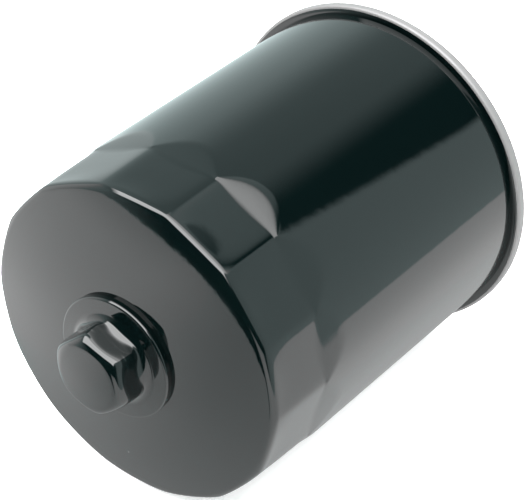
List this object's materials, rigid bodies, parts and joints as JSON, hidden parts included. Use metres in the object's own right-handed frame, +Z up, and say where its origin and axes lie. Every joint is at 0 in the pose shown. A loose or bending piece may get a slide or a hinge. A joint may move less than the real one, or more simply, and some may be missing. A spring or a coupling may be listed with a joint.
{
  "type": "spin-on oil filter",
  "caption": "Spin-on engine oil filter: drawn can with fluted end and welded hex nut, threaded base plate, gasket, pleated element, bypass and anti-drainback valves.",
  "frame": {"origin": "on the filter's axis, at the mouth of the mounting thread", "axes": "+Y along the axis, out of the threaded base towards the engine; the domed, nutted end faces -Y; +Z up with the filter lying as it hangs on a side-facing mount"},
  "size_m": [0.08, 0.1057, 0.08],
  "materials": {
    "can_paint": "gloss black baked enamel on drawn steel",
    "nut_paint": "gloss black enamel, thicker in the corners",
    "tinplate": "satin tin plate with fine rolling lines",
    "sealing_compound": "dull cured sealing compound",
    "plate_steel": "oiled pressed steel",
    "gasket_rubber": "moulded nitrile rubber",
    "valve_rubber": "moulded silicone rubber",
    "endcap_steel": "thin bright steel strip",
    "potting": "cured plastisol adhesive",
    "filter_paper": "resin-cured cellulose filter paper",
    "spring_steel": "drawn spring wire"
  },
  "bodies": {
    "can": {"canister": "can_paint", "wrench_nut": "nut_paint", "seaming_lid": "tinplate", "seam_compound": "sealing_compound", "tapping_plate": "plate_steel", "gasket": "gasket_rubber", "element_load_spring": "spring_steel"},
    "drainback_lip": {"anti_drainback_valve": "valve_rubber"},
    "element": {"outlet_endcap": "endcap_steel", "outlet_adhesive": "potting", "filter_paper": "filter_paper", "pleat_seam_clip": "endcap_steel", "centre_tube": "endcap_steel", "dome_adhesive": "potting", "dome_endcap": "endcap_steel", "bypass_cage": "endcap_steel", "bypass_spring": "spring_steel"},
    "bypass_valve": {"bypass_poppet": "endcap_steel", "bypass_seal_disc": "gasket_rubber", "bypass_stem": "spring_steel"}
  },
  "joints": [
    {"name": "drainback_lift", "type": "slide", "parent": "can", "child": "drainback_lip", "axis": [0, -1, 0], "range_m": [0, 0.0015], "stiffness_N_per_m": 400, "springref_m": -0.001, "deforming": ["anti_drainback_valve"]},
    {"name": "element_float", "type": "slide", "parent": "can", "child": "element", "axis": [0, -1, 0], "range_m": [0, 0.0015], "stiffness_N_per_m": 1270, "springref_m": -0.024, "deforming": ["element_load_spring"]},
    {"name": "bypass_open", "type": "slide", "parent": "element", "child": "bypass_valve", "axis": [0, 1, 0], "range_m": [0, 0.004], "stiffness_N_per_m": 1140, "springref_m": -0.0114, "deforming": ["bypass_spring"]}
  ]
}
